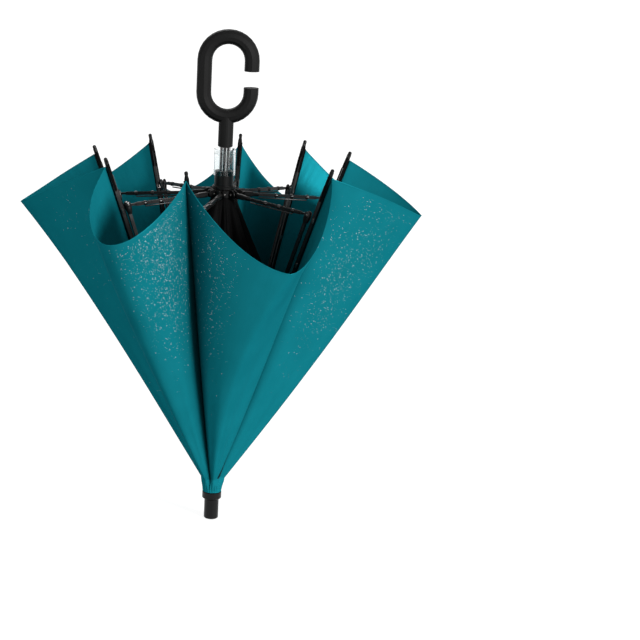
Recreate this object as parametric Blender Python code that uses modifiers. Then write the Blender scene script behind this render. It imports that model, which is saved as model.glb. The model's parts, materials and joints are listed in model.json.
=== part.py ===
"""Inverted umbrella, half open, with a C-shaped grip and a lined canopy of eight gores.

Blender script, metres, +Z up. The origin is the centre of the ferrule's flat end, +Z runs up the
shaft to the grip, +X is the side of the grip's mouth and -Y is the front.

Eight ribs are hung on a wire ring at the crown, just above the ferrule. A runner slides on the shaft
and holds each rib by a short inner bar and a long outer bar. Each gore of cloth is folded outwards
along its middle: its near half is sewn to one rib and its far half reaches the next rib.
"""

import math

import bpy
import bmesh
from mathutils import Matrix, Vector

MM = 0.001
FULL_TURN = 360.0
HALF_TURN = 180.0
UP = Vector((0.0, 0.0, 1.0))

# Fits
SEAT_GAP = 0.3 * MM
RUNNING_GAP = 0.3 * MM
PIN_GAP = 0.3 * MM
CUT_OVERRUN = 5.0 * MM
WELD_DISTANCE = 0.005 * MM

# Ferrule, collar and crown, from the bottom up
FERRULE_RADIUS = 12.0 * MM
FERRULE_HEIGHT = 35.0 * MM
FERRULE_EDGE = 1.5 * MM
STUD_RADIUS = 4.0 * MM
STUD_DEPTH = 15.0 * MM
COLLAR_RADIUS = 16.0 * MM
COLLAR_HEIGHT = 12.0 * MM
COLLAR_EDGE = 1.0 * MM
ROSETTE_RADIUS = 15.0 * MM
ROSETTE_HEIGHT = 5.0 * MM
CROWN_FLANGE_RADIUS = 11.0 * MM
CROWN_FLANGE_HEIGHT = 4.0 * MM
CROWN_CORE_RADIUS = 4.5 * MM
CROWN_SHOULDER_RADIUS = 8.2 * MM
CROWN_SHOULDER_HEIGHT = 2.0 * MM
CROWN_PLUG_HEIGHT = 16.0 * MM
HINGE_CIRCLE_RADIUS = 8.0 * MM
HINGE_HEIGHT = 62.0 * MM
HINGE_WIRE_RADIUS = 0.4 * MM
CORE_ABOVE_HINGE = 9.0 * MM

# Shaft
SHAFT_RADIUS = 8.4 * MM
SHAFT_WALL = 1.2 * MM
SHAFT_IN_STEM = 25.0 * MM

# Grip: a round bar bent to an open C on a straight stem
STEM_ABOVE_SLEEVE = 4.0 * MM
STEM_LENGTH = 49.0 * MM
GRIP_BAR_RADIUS = 12.0 * MM
GRIP_HALF_WIDTH = 37.7 * MM
GRIP_STRAIGHT = 51.6 * MM
MOUTH_ABOVE_RING_BOTTOM = 47.0 * MM
MOUTH_OPENING = 26.0 * MM
STEM_EDGE = 1.0 * MM

# Spring catches in the shaft
CATCH_WIDTH = 3.2 * MM
CATCH_LENGTH = 18.0 * MM
CATCH_STAND_OUT = 2.5 * MM
CATCH_DEPTH = 5.0 * MM
CATCH_SLOPE_SHARE = 2 / 3
UPPER_CATCH_ABOVE_RUNNER = 4.0 * MM
LOWER_CATCH_BELOW_RUNNER = 5.7 * MM

# Runner, its hub and the clear sleeve pushed over its top
HUB_HEIGHT = 554.0 * MM
HUB_RADIUS = 20.1 * MM
HUB_THICKNESS = 12.0 * MM
RUNNER_TUBE_RADIUS = 15.3 * MM
RUNNER_TUBE_ABOVE_HUB = 36.0 * MM
RUNNER_TRAVEL = 140.0 * MM
RUNNER_FLANGE_RADIUS = 17.4 * MM
RUNNER_FLANGE_HEIGHT = 4.0 * MM
RUNNER_COLLAR_RADIUS = 18.4 * MM
RUNNER_COLLAR_HEIGHT = 6.0 * MM
SLEEVE_RADIUS = 17.9 * MM
SLEEVE_LAP = 7.0 * MM
SLEEVE_LENGTH = 42.0 * MM
SLEEVE_NOTCH_WIDTH = 12.0 * MM
SLEEVE_NOTCH_DEPTH = 12.0 * MM

# Ribs: how they stand in the photograph, and how far they open
RIB_COUNT = 8
RIB_LENGTH = 592.0 * MM
RIB_HALF_DEPTH = 2.2 * MM
RIB_THICKNESS = 3.0 * MM
RIB_EYE_RADIUS = 2.6 * MM
RIB_EYE_BORE = 1.5 * MM
RIB_TIP_RADIUS = 3.0 * MM
TIP_CLIP_LENGTH = 26.0 * MM
TIP_CLIP_SLOPE = 2.0 * MM
REST_LEAN = math.radians(20.2)
FLAT_LEAN = math.radians(58.0)
FRONT_RIB_AZIMUTH = math.radians(-5.0)
REST_SWAY = tuple(math.radians(d) for d in (-11, -11, 0, -3, -2, 11, 21, 12))

# Bars between the runner and the ribs
BAR_PIVOT_ALONG = 200.0 * MM
BAR_PIVOT_INSIDE = 9.0 * MM
KNUCKLE_ALONG = 508.0 * MM
KNUCKLE_INSIDE = 12.0 * MM
BAR_EYE_RADIUS = 3.0 * MM
BAR_END_RADIUS = 2.5 * MM
BAR_HALF_DEPTH = 1.8 * MM
OUTER_BAR_THICKNESS = 1.6 * MM
INNER_BAR_THICKNESS = 1.8 * MM
BAR_SIDE_GAP = 0.3 * MM
BAR_PIN_RADIUS = 1.2 * MM
BAR_END_CIRCLE = 23.0 * MM

# Cloth
CLOTH_THICKNESS = 1.0 * MM
CLOTH_CORNER_ALONG = 580.0 * MM
CLOTH_OUTSIDE_RIB = 4.0 * MM
RIDGE_LENGTH = 558.0 * MM
GORE_START = 40.0 * MM
SEAM_SETBACK_AT_CROWN = 7.0 * MM
FREE_EDGE_AT_CROWN = 11.0 * MM
FREE_EDGE_AT_HEM = tuple(gap * MM for gap in (22.0, 34.0, 17.0, 22.0, 34.0, 28.0, 7.0, 7.0))
HEM_STEPS = 8

# Lining gathered under the hub
LINING_TOP_RADIUS = 18.3 * MM
LINING_BOTTOM_RADIUS = 62.0 * MM
LINING_LENGTH = 200.0 * MM
LINING_FOLD_DEPTH = 12.0 * MM
LINING_THICKNESS = 1.2 * MM
LINING_FOLDS = 12
LINING_ROWS = 6
LINING_FLARE = 1.3

# Closing strap, sewn to the outside of a back gore and folded on its patch
STRAP_GORE = 4
STRAP_WIDTH = 38.0 * MM
STRAP_SEWN_AT = 430.0 * MM
STRAP_HANG = 165.0 * MM
STRAP_THICKNESS = 1.6 * MM
PATCH_LENGTH = 30.0 * MM
PATCH_WIDTH = 25.0 * MM
PATCH_THICKNESS = 1.0 * MM

# Heights that follow from the sizes above
COLLAR_BOTTOM = FERRULE_HEIGHT + SEAT_GAP
COLLAR_TOP = COLLAR_BOTTOM + COLLAR_HEIGHT
ROSETTE_BOTTOM = COLLAR_TOP + SEAT_GAP
CROWN_FLANGE_BOTTOM = ROSETTE_BOTTOM + ROSETTE_HEIGHT + SEAT_GAP
SHOULDER_TOP = HINGE_HEIGHT + CORE_ABOVE_HINGE + CROWN_SHOULDER_HEIGHT
SHAFT_BOTTOM = SHOULDER_TOP + SEAT_GAP
RUNNER_TUBE_TOP = HUB_HEIGHT + RUNNER_TUBE_ABOVE_HUB
SLEEVE_BOTTOM = RUNNER_TUBE_TOP - SLEEVE_LAP
SLEEVE_TOP = SLEEVE_BOTTOM + SLEEVE_LENGTH
STEM_BOTTOM = SLEEVE_TOP + STEM_ABOVE_SLEEVE
GRIP_RING_BOTTOM = STEM_BOTTOM + STEM_LENGTH
MOUTH_LOW = GRIP_RING_BOTTOM + MOUTH_ABOVE_RING_BOTTOM
MOUTH_HIGH = MOUTH_LOW + MOUTH_OPENING
SHAFT_TOP = STEM_BOTTOM + SHAFT_IN_STEM
SHAFT_BORE = SHAFT_RADIUS - SHAFT_WALL
RUNNER_BORE = SHAFT_RADIUS + RUNNING_GAP
HUB_BOTTOM = HUB_HEIGHT - HUB_THICKNESS / 2
HUB_TOP = HUB_HEIGHT + HUB_THICKNESS / 2
HUB_BORE = RUNNER_TUBE_RADIUS + SEAT_GAP
RUNNER_BOTTOM = HUB_BOTTOM - SEAT_GAP - RUNNER_FLANGE_HEIGHT
UPPER_CATCH_HEIGHT = RUNNER_TUBE_TOP + UPPER_CATCH_ABOVE_RUNNER
LOWER_CATCH_HEIGHT = RUNNER_BOTTOM - RUNNER_TRAVEL - LOWER_CATCH_BELOW_RUNNER - CATCH_LENGTH
APEX = Vector((0.0, 0.0, HINGE_HEIGHT - HINGE_CIRCLE_RADIUS / math.tan(REST_LEAN)))


def rib_azimuth(index):
    """Azimuth of a rib's hinge, from the front, positive towards +X."""
    return FRONT_RIB_AZIMUTH - index * 2 * math.pi / RIB_COUNT


def outward(azimuth):
    return Vector((math.sin(azimuth), -math.cos(azimuth), 0.0))


def leaning(lean, azimuth):
    return outward(azimuth) * math.sin(lean) + UP * math.cos(lean)


def frame_matrix(origin, along, towards):
    """A frame at origin: X along a direction, Y on the side of another, Z square to both."""
    x = along.normalized()
    y = (towards - x * towards.dot(x)).normalized()
    z = x.cross(y)
    rows = [(x[i], y[i], z[i], origin[i]) for i in range(3)]
    return Matrix((*rows, (0.0, 0.0, 0.0, 1.0)))


def hinge_point(index):
    return outward(rib_azimuth(index)) * HINGE_CIRCLE_RADIUS + UP * HINGE_HEIGHT


def hub_point(index):
    return outward(rib_azimuth(index)) * BAR_END_CIRCLE + UP * HUB_HEIGHT


def rib_frame(index):
    """Rest frame of a rib: origin on its hinge, X to its tip, Y to the inside, Z along its pins."""
    origin = hinge_point(index)
    along = leaning(REST_LEAN, rib_azimuth(index) + REST_SWAY[index])
    return frame_matrix(origin, along, hub_point(index) - origin)


def bar_lengths():
    """Lengths of the inner and the outer bar, from a rib that stands square in its hinge."""
    hub = Vector((BAR_END_CIRCLE - HINGE_CIRCLE_RADIUS, HUB_HEIGHT - HINGE_HEIGHT))
    across = Vector((-math.cos(REST_LEAN), math.sin(REST_LEAN)))
    along = Vector((math.sin(REST_LEAN), math.cos(REST_LEAN)))
    knuckle = along * KNUCKLE_ALONG + across * KNUCKLE_INSIDE
    pivot = along * BAR_PIVOT_ALONG + across * BAR_PIVOT_INSIDE
    return (hub - knuckle).length, (knuckle - pivot).length


def knuckle_point(hub):
    """Where the two bars meet, in a rib's own plane, for the hub's place in that plane."""
    inner, outer = bar_lengths()
    pivot = Vector((BAR_PIVOT_ALONG, BAR_PIVOT_INSIDE))
    reach = (hub - pivot).length
    along = (outer ** 2 - inner ** 2 + reach ** 2) / (2 * reach)
    aside = math.sqrt(outer ** 2 - along ** 2)
    unit = (hub - pivot) / reach
    return pivot + unit * along + Vector((unit.y, -unit.x)) * aside


def bar_frames(index):
    """Rest frames of a rib's outer bar and inner bar, each with X along the bar."""
    frame = rib_frame(index)
    local_hub = frame.inverted() @ hub_point(index)
    knuckle = knuckle_point(Vector((local_hub.x, local_hub.y)))
    pivot = frame @ Vector((BAR_PIVOT_ALONG, BAR_PIVOT_INSIDE, 0.0))
    joint = frame @ Vector((knuckle.x, knuckle.y, 0.0))
    normal = frame.to_3x3() @ UP
    outer = frame_matrix(pivot, joint - pivot, normal.cross(joint - pivot))
    inner = frame_matrix(joint, hub_point(index) - joint, normal.cross(hub_point(index) - joint))
    return outer, inner


def gore_half_angle():
    """Angle at the apex of half a gore, so that the cloth lies flat at the flat lean.

    As a rib opens, the place where its line meets the shaft's axis moves up the rib. The angle is
    the flat one at the hem, corrected for that shift.
    """
    flat = math.asin(math.sin(FLAT_LEAN) * math.sin(math.pi / RIB_COUNT))
    open_offset = HINGE_CIRCLE_RADIUS / math.sin(FLAT_LEAN)
    rest_offset = HINGE_CIRCLE_RADIUS / math.sin(REST_LEAN)
    hem = CLOTH_CORNER_ALONG + open_offset
    return math.atan(math.tan(flat) * hem / (hem + rest_offset - open_offset))


def cloth_corner(index):
    """Where the hem is tied to a rib, just outside it."""
    return rib_frame(index) @ Vector((CLOTH_CORNER_ALONG, -CLOTH_OUTSIDE_RIB, 0.0))


def seam_direction(index):
    return (cloth_corner(index % RIB_COUNT) - APEX).normalized()


def ridge_direction(index):
    """The fold of a gore: half a gore's angle from both its seams, on the outside."""
    first, second = seam_direction(index), seam_direction(index + 1)
    middle = (first + second).normalized()
    half_spread = first.angle(second) / 2
    normal = first.cross(second).normalized()
    if normal.dot(Vector((middle.x, middle.y, 0.0))) < 0:
        normal.negate()
    rise = math.acos(math.cos(gore_half_angle()) / math.cos(half_spread))
    return middle * math.cos(rise) + normal * math.sin(rise)


def near_frame(index):
    """Frame of the half gore sewn to a rib: X along the seam, Y towards the fold."""
    return frame_matrix(APEX, seam_direction(index), ridge_direction(index))


def far_frame(index):
    """Frame of the half gore beyond the fold: X along the fold, Y towards the next rib."""
    return frame_matrix(APEX, ridge_direction(index), seam_direction(index + 1))


def seam_reach():
    return (cloth_corner(0) - APEX).length


def ridge_setback(index):
    """How far each half stays from the fold, so that their inner faces stay a seat gap apart."""
    fold = ridge_direction(index)
    seams = (seam_direction(index), seam_direction(index + 1))
    first, second = (seam - fold * seam.dot(fold) for seam in seams)
    half_fold = first.angle(second) / 2
    return (SEAT_GAP / 2 + CLOTH_THICKNESS / 2 * math.cos(half_fold)) / math.sin(half_fold)


def seam_setback(index):
    """How far the near half stays from its seam at the hem, so that it meets the rib's tip clip."""
    off_rib = rib_frame(index).to_3x3() @ Vector((0.0, -1.0, 0.0))
    across = near_frame(index).to_3x3() @ Vector((0.0, 1.0, 0.0))
    turn = across.angle(off_rib)
    clip = RIB_TIP_RADIUS + SEAT_GAP + CLOTH_THICKNESS / 2 * math.sin(turn) - CLOTH_OUTSIDE_RIB
    return clip / math.cos(turn)


# Tools

def clear_scene():
    for old in list(bpy.data.objects):
        bpy.data.objects.remove(old, do_unlink=True)


def collection(name):
    made = bpy.data.collections.new(name)
    bpy.context.scene.collection.children.link(made)
    return made


def material(name, color, roughness, metallic=0.0, alpha=1.0):
    made = bpy.data.materials.new(name)
    made.use_nodes = True
    shader = made.node_tree.nodes["Principled BSDF"]
    shader.inputs["Base Color"].default_value = (*color, 1.0)
    shader.inputs["Roughness"].default_value = roughness
    shader.inputs["Metallic"].default_value = metallic
    shader.inputs["Alpha"].default_value = alpha
    return made


def place(name, mesh, finish, home, matrix=None):
    made = bpy.data.objects.new(name, mesh)
    home.objects.link(made)
    if matrix is not None:
        made.matrix_world = matrix
    if not mesh.materials:
        mesh.materials.append(finish)
    return made


def shade_round(mesh, angle=math.radians(35)):
    mesh.shade_smooth()
    mesh.set_sharp_from_angle(angle=angle)


def turned_mesh(name, profile, steps=32):
    """A closed ring of (radius, height) points, or an open line ending on the axis, turned about Z.

    The line runs down its outer side, from top to bottom.
    """
    on_axis = [abs(r) < 1e-9 for r, h in profile]
    mesh = bpy.data.meshes.new(name + "_profile")
    points = [(r, 0.0, h) for r, h in profile]
    edges = [(i, i + 1) for i in range(len(points) - 1)]
    if not any(on_axis):
        edges.append((len(points) - 1, 0))
    mesh.from_pydata(points, edges, [])
    carrier = bpy.data.objects.new(name + "_turning", mesh)
    bpy.context.scene.collection.objects.link(carrier)
    screw = carrier.modifiers.new("Screw", "SCREW")
    screw.steps = steps
    screw.render_steps = steps
    screw.use_merge_vertices = True
    screw.merge_threshold = WELD_DISTANCE
    return baked(carrier, name)


def baked(carrier, name):
    """The evaluated mesh of an object, with its doubles merged, in the object's own frame."""
    graph = bpy.context.evaluated_depsgraph_get()
    mesh = bpy.data.meshes.new_from_object(carrier.evaluated_get(graph))
    mesh.name = name
    build = bmesh.new()
    build.from_mesh(mesh)
    bmesh.ops.remove_doubles(build, verts=build.verts, dist=WELD_DISTANCE)
    bmesh.ops.recalc_face_normals(build, faces=build.faces)
    build.to_mesh(mesh)
    build.free()
    old = carrier.data
    bpy.data.objects.remove(carrier)
    if old.users == 0 and isinstance(old, bpy.types.Mesh):
        bpy.data.meshes.remove(old)
    return mesh


def outline_mesh(name, outline, thickness, offset=0.0, holes=()):
    """A flat outline with holes in the XY plane, extruded along Z and centred on the offset."""
    curve = bpy.data.curves.new(name + "_outline", "CURVE")
    curve.dimensions = "2D"
    curve.fill_mode = "BOTH"
    curve.extrude = thickness / 2
    for ring in (outline, *holes):
        spline = curve.splines.new("POLY")
        spline.points.add(len(ring) - 1)
        for point, (x, y) in zip(spline.points, ring):
            point.co = (x, y, 0.0, 1.0)
        spline.use_cyclic_u = True
    carrier = bpy.data.objects.new(name + "_carrier", curve)
    bpy.context.scene.collection.objects.link(carrier)
    mesh = baked(carrier, name)
    mesh.transform(Matrix.Translation((0.0, 0.0, offset)))
    return mesh


def arc(center, radius, start, end, steps):
    """Points of an arc in degrees, both ends included."""
    turn = [math.radians(start + (end - start) * i / steps) for i in range(steps + 1)]
    return [(center[0] + radius * math.cos(t), center[1] + radius * math.sin(t)) for t in turn]


def circle(center, radius, steps=10):
    return arc(center, radius, 0, FULL_TURN * (steps - 1) / steps, steps - 1)


def cylinder_object(name, radius, length, matrix, home, sides=12):
    """A cylinder along its own Z, centred on the matrix."""
    build = bmesh.new()
    bmesh.ops.create_cone(build, cap_ends=True, segments=sides, radius1=radius, radius2=radius, depth=length)
    mesh = bpy.data.meshes.new(name)
    build.to_mesh(mesh)
    build.free()
    made = bpy.data.objects.new(name, mesh)
    home.objects.link(made)
    made.matrix_world = matrix
    return made


def box_object(name, size, matrix, home):
    build = bmesh.new()
    bmesh.ops.create_cube(build, size=1.0)
    bmesh.ops.scale(build, vec=size, verts=build.verts)
    mesh = bpy.data.meshes.new(name)
    build.to_mesh(mesh)
    build.free()
    made = bpy.data.objects.new(name, mesh)
    home.objects.link(made)
    made.matrix_world = matrix
    return made


def combined(mesh, name, tools, operation, home):
    """Applies one Boolean for each tool to a mesh and returns the result."""
    carrier = bpy.data.objects.new(name + "_carrier", mesh)
    home.objects.link(carrier)
    for tool in tools:
        step = carrier.modifiers.new(operation, "BOOLEAN")
        step.operation = operation
        step.solver = "EXACT"
        step.object = tool
    bpy.context.view_layer.update()
    result = baked(carrier, name)
    for tool in tools:
        bpy.data.objects.remove(tool)
    return result


# Ferrule, crown and shaft

def ring_profile(inner, outer, low, high, edge=0.0):
    """A ring's section, with its outer edges broken."""
    if edge == 0.0:
        return [(outer, high), (outer, low), (inner, low), (inner, high)]
    return [(outer - edge, high), (outer, high - edge), (outer, low + edge),
            (outer - edge, low), (inner, low), (inner, high)]


def build_ferrule(parts, black):
    socket = STUD_RADIUS + SEAT_GAP
    floor = FERRULE_HEIGHT - STUD_DEPTH
    profile = [(0.0, floor), (socket, floor), (socket, FERRULE_HEIGHT),
               (FERRULE_RADIUS - FERRULE_EDGE, FERRULE_HEIGHT),
               (FERRULE_RADIUS, FERRULE_HEIGHT - FERRULE_EDGE), (FERRULE_RADIUS, FERRULE_EDGE),
               (FERRULE_RADIUS - FERRULE_EDGE, 0.0), (0.0, 0.0)]
    mesh = turned_mesh("ferrule_tip", profile)
    shade_round(mesh)
    place("ferrule_tip", mesh, black, parts)


def build_collar(parts, black):
    bore = STUD_RADIUS + SEAT_GAP
    profile = ring_profile(bore, COLLAR_RADIUS, COLLAR_BOTTOM, COLLAR_TOP, COLLAR_EDGE)
    mesh = turned_mesh("crown_collar", profile)
    shade_round(mesh)
    place("crown_collar", mesh, black, parts)


def build_rosette(parts, cloth):
    bore = STUD_RADIUS + SEAT_GAP
    top = ROSETTE_BOTTOM + ROSETTE_HEIGHT
    mesh = turned_mesh("crown_rosette", ring_profile(bore, ROSETTE_RADIUS, ROSETTE_BOTTOM, top, COLLAR_EDGE))
    shade_round(mesh)
    place("crown_rosette", mesh, cloth, parts)


def build_notch(parts, black):
    """The crown: a stud in the ferrule, a flange under the ribs' eyes and a plug in the shaft."""
    plug = SHAFT_BORE - SEAT_GAP
    shoulder_bottom = SHOULDER_TOP - CROWN_SHOULDER_HEIGHT
    stud_bottom = FERRULE_HEIGHT - STUD_DEPTH + SEAT_GAP
    flange_top = CROWN_FLANGE_BOTTOM + CROWN_FLANGE_HEIGHT
    profile = [(0.0, SHOULDER_TOP + CROWN_PLUG_HEIGHT), (plug, SHOULDER_TOP + CROWN_PLUG_HEIGHT),
               (plug, SHOULDER_TOP), (CROWN_SHOULDER_RADIUS, SHOULDER_TOP),
               (CROWN_SHOULDER_RADIUS, shoulder_bottom), (CROWN_CORE_RADIUS, shoulder_bottom),
               (CROWN_CORE_RADIUS, flange_top), (CROWN_FLANGE_RADIUS, flange_top),
               (CROWN_FLANGE_RADIUS, CROWN_FLANGE_BOTTOM), (STUD_RADIUS, CROWN_FLANGE_BOTTOM),
               (STUD_RADIUS, stud_bottom), (0.0, stud_bottom)]
    mesh = turned_mesh("crown_notch", profile, 24)
    shade_round(mesh)
    place("crown_notch", mesh, black, parts)


def build_hinge_wire(parts, steel):
    bpy.ops.mesh.primitive_torus_add(major_segments=32, minor_segments=6, major_radius=HINGE_CIRCLE_RADIUS,
                                     minor_radius=HINGE_WIRE_RADIUS, location=(0.0, 0.0, HINGE_HEIGHT))
    wire = bpy.context.object
    wire.name = "hinge_wire"
    for home in list(wire.users_collection):
        home.objects.unlink(wire)
    parts.objects.link(wire)
    wire.data.materials.append(steel)


def catch_slot(height, cutters):
    """A cutter for a catch's window in the shaft's wall, on the +X side."""
    center = Vector((SHAFT_RADIUS, 0.0, height + CATCH_LENGTH / 2))
    size = (SHAFT_WALL + CUT_OVERRUN, CATCH_WIDTH + 2 * SEAT_GAP, CATCH_LENGTH + 2 * SEAT_GAP)
    return box_object("catch_slot", size, Matrix.Translation(center), cutters)


def build_shaft(parts, cutters, gloss):
    tube = turned_mesh("shaft_tube", ring_profile(SHAFT_BORE, SHAFT_RADIUS, SHAFT_BOTTOM, SHAFT_TOP), 32)
    slots = [catch_slot(height, cutters) for height in (UPPER_CATCH_HEIGHT, LOWER_CATCH_HEIGHT)]
    mesh = combined(tube, "shaft_tube", slots, "DIFFERENCE", cutters)
    shade_round(mesh)
    place("shaft_tube", mesh, gloss, parts)


def build_catch(name, height, parts, steel):
    """A sprung wedge whose sloped lower end lets the runner ride over it."""
    inner = SHAFT_RADIUS - CATCH_DEPTH
    nose = SHAFT_RADIUS + CATCH_STAND_OUT
    outline = [(inner, 0.0), (SHAFT_RADIUS, 0.0), (nose, CATCH_LENGTH * CATCH_SLOPE_SHARE),
               (nose, CATCH_LENGTH), (inner, CATCH_LENGTH)]
    mesh = outline_mesh(name, outline, CATCH_WIDTH)
    upright = Matrix.Translation((0.0, 0.0, height)) @ Matrix.Rotation(math.pi / 2, 4, "X")
    place(name, mesh, steel, parts, upright)


# Grip

def build_grip(parts, cutters, rubber):
    """The C follows a ring of two half circles and two straights, open at the mouth on +X."""
    low_center = GRIP_RING_BOTTOM + GRIP_HALF_WIDTH
    high_center = low_center + GRIP_STRAIGHT
    path = [(GRIP_HALF_WIDTH, MOUTH_LOW)]
    path += arc((0.0, low_center), GRIP_HALF_WIDTH, 0, -180, 16)
    path += arc((0.0, high_center), GRIP_HALF_WIDTH, 180, 0, 16)
    path.append((GRIP_HALF_WIDTH, MOUTH_HIGH))
    curve = bpy.data.curves.new("c_grip_path", "CURVE")
    curve.dimensions = "3D"
    curve.bevel_depth = GRIP_BAR_RADIUS
    curve.bevel_resolution = 4
    curve.use_fill_caps = True
    spline = curve.splines.new("POLY")
    spline.points.add(len(path) - 1)
    for point, (x, z) in zip(spline.points, path):
        point.co = (x, 0.0, z, 1.0)
    carrier = bpy.data.objects.new("c_grip_carrier", curve)
    cutters.objects.link(carrier)
    ring = baked(carrier, "c_grip")
    stem_top = GRIP_RING_BOTTOM
    stem_mesh = turned_mesh("grip_stem", [
        (0.0, stem_top), (GRIP_BAR_RADIUS, stem_top), (GRIP_BAR_RADIUS, STEM_BOTTOM + STEM_EDGE),
        (GRIP_BAR_RADIUS - STEM_EDGE, STEM_BOTTOM), (0.0, STEM_BOTTOM)], 24)
    stem = bpy.data.objects.new("grip_stem", stem_mesh)
    cutters.objects.link(stem)
    joined = combined(ring, "c_grip", [stem], "UNION", cutters)
    depth = SHAFT_IN_STEM + SEAT_GAP + CUT_OVERRUN
    middle = STEM_BOTTOM + SHAFT_IN_STEM + SEAT_GAP - depth / 2
    bore = cylinder_object("stem_bore", SHAFT_RADIUS + SEAT_GAP, depth,
                           Matrix.Translation((0.0, 0.0, middle)), cutters, 32)
    mesh = combined(joined, "c_grip", [bore], "DIFFERENCE", cutters)
    shade_round(mesh)
    place("c_grip", mesh, rubber, parts)


# Runner

def build_runner(parts, cutters, black, clear):
    flange_top = RUNNER_BOTTOM + RUNNER_FLANGE_HEIGHT
    profile = [(RUNNER_TUBE_RADIUS, RUNNER_TUBE_TOP), (RUNNER_TUBE_RADIUS, flange_top),
               (RUNNER_FLANGE_RADIUS, flange_top), (RUNNER_FLANGE_RADIUS, RUNNER_BOTTOM),
               (RUNNER_BORE, RUNNER_BOTTOM), (RUNNER_BORE, RUNNER_TUBE_TOP)]
    tube = turned_mesh("runner_tube", profile)
    shade_round(tube)
    place("runner_tube", tube, black, parts)
    hub = turned_mesh("runner_hub", ring_profile(HUB_BORE, HUB_RADIUS, HUB_BOTTOM, HUB_TOP, COLLAR_EDGE), 32)
    shade_round(hub)
    place("runner_hub", hub, black, parts)
    low = HUB_TOP + SEAT_GAP
    collar = turned_mesh("runner_collar", ring_profile(HUB_BORE, RUNNER_COLLAR_RADIUS, low,
                                                       low + RUNNER_COLLAR_HEIGHT, COLLAR_EDGE), 32)
    shade_round(collar)
    place("runner_collar", collar, black, parts)
    sleeve = turned_mesh("clear_sleeve", ring_profile(HUB_BORE, SLEEVE_RADIUS, SLEEVE_BOTTOM, SLEEVE_TOP), 32)
    size = (SLEEVE_NOTCH_WIDTH, 2 * SLEEVE_RADIUS + CUT_OVERRUN, 2 * SLEEVE_NOTCH_DEPTH)
    notch = box_object("sleeve_notch", size, Matrix.Translation((0.0, 0.0, SLEEVE_TOP)), cutters)
    mesh = combined(sleeve, "clear_sleeve", [notch], "DIFFERENCE", cutters)
    shade_round(mesh)
    place("clear_sleeve", mesh, clear, parts)


def build_lining(parts, cloth):
    """A pleated skirt round the shaft: rings of folds that deepen from the hub down."""
    rows = LINING_ROWS
    columns = LINING_FOLDS * 4
    top = HUB_BOTTOM - SEAT_GAP
    build = bmesh.new()
    rings = []
    for row in range(rows + 1):
        share = row / rows
        radius = LINING_TOP_RADIUS + (LINING_BOTTOM_RADIUS - LINING_TOP_RADIUS) * share ** LINING_FLARE
        fold = LINING_FOLD_DEPTH * share
        ring = []
        for column in range(columns):
            turn = 2 * math.pi * column / columns
            wave = radius + LINING_THICKNESS + fold * math.cos(LINING_FOLDS * turn)
            spot = (wave * math.cos(turn), wave * math.sin(turn), top - LINING_LENGTH * share)
            ring.append(build.verts.new(spot))
        rings.append(ring)
    for high, low in zip(rings, rings[1:]):
        for column in range(columns):
            after = (column + 1) % columns
            build.faces.new((high[column], low[column], low[after], high[after]))
    mesh = bpy.data.meshes.new("inner_lining")
    bmesh.ops.recalc_face_normals(build, faces=build.faces)
    build.to_mesh(mesh)
    build.free()
    made = place("inner_lining", mesh, cloth, parts)
    shell = made.modifiers.new("Solidify", "SOLIDIFY")
    shell.thickness = LINING_THICKNESS
    shell.offset = 0.0


# Ribs and bars

def rib_mesh():
    """A rib in its own plane: an eye, a bar with a lug for the outer bar, and a tip clip."""
    half, eye = RIB_HALF_DEPTH, RIB_EYE_RADIUS
    lug, reach = BAR_EYE_RADIUS, BAR_PIVOT_INSIDE
    tip = RIB_LENGTH - RIB_TIP_RADIUS
    opening = math.degrees(math.asin(half / eye))
    outline = arc((0.0, 0.0), eye, FULL_TURN - opening, opening, 8)
    outline += [(BAR_PIVOT_ALONG - 2 * lug, half)]
    outline += arc((BAR_PIVOT_ALONG, reach), lug, HALF_TURN, 0, 6)
    outline += [(BAR_PIVOT_ALONG + 2 * lug, half)]
    clip = RIB_LENGTH - TIP_CLIP_LENGTH
    outline += [(clip, half), (clip + TIP_CLIP_SLOPE, RIB_TIP_RADIUS)]
    outline += arc((tip, 0.0), RIB_TIP_RADIUS, 90, -90, 4)
    outline += [(clip + TIP_CLIP_SLOPE, -RIB_TIP_RADIUS), (clip, -half)]
    holes = (circle((0.0, 0.0), RIB_EYE_BORE, 8),
             circle((BAR_PIVOT_ALONG, reach), BAR_PIN_RADIUS + PIN_GAP, 8))
    return outline_mesh("rib", outline, RIB_THICKNESS, 0.0, holes)


def bar_outline(length, first, second):
    """A straight bar with a round end at each of its two centres."""
    half = BAR_HALF_DEPTH
    start = math.degrees(math.asin(half / first))
    end = math.degrees(math.asin(half / second))
    near_eye = arc((0.0, 0.0), first, FULL_TURN - start, start, 8)
    return near_eye + arc((length, 0.0), second, HALF_TURN - end, end - HALF_TURN, 8)


def outer_bar_mesh(cutters):
    """The bar beside the rib, with its two pins standing out of it into the rib and the inner bar."""
    length = bar_lengths()[1]
    low = RIB_THICKNESS / 2 + BAR_SIDE_GAP
    high = low + OUTER_BAR_THICKNESS
    mesh = outline_mesh("outer_bar", bar_outline(length, BAR_EYE_RADIUS, BAR_EYE_RADIUS),
                        OUTER_BAR_THICKNESS, (low + high) / 2)
    sunk = OUTER_BAR_THICKNESS / 2
    pins = []
    for place_along, bottom in ((0.0, -RIB_THICKNESS / 2), (length, -INNER_BAR_THICKNESS / 2)):
        span = low + sunk - bottom
        middle = Matrix.Translation((place_along, 0.0, bottom + span / 2))
        pins.append(cylinder_object("bar_pin", BAR_PIN_RADIUS, span, middle, cutters, 10))
    return combined(mesh, "outer_bar", pins, "UNION", cutters)


def inner_bar_mesh():
    length = bar_lengths()[0]
    hole = circle((0.0, 0.0), BAR_PIN_RADIUS + PIN_GAP, 10)
    return outline_mesh("inner_bar", bar_outline(length, BAR_EYE_RADIUS, BAR_END_RADIUS),
                        INNER_BAR_THICKNESS, 0.0, (hole,))


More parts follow.
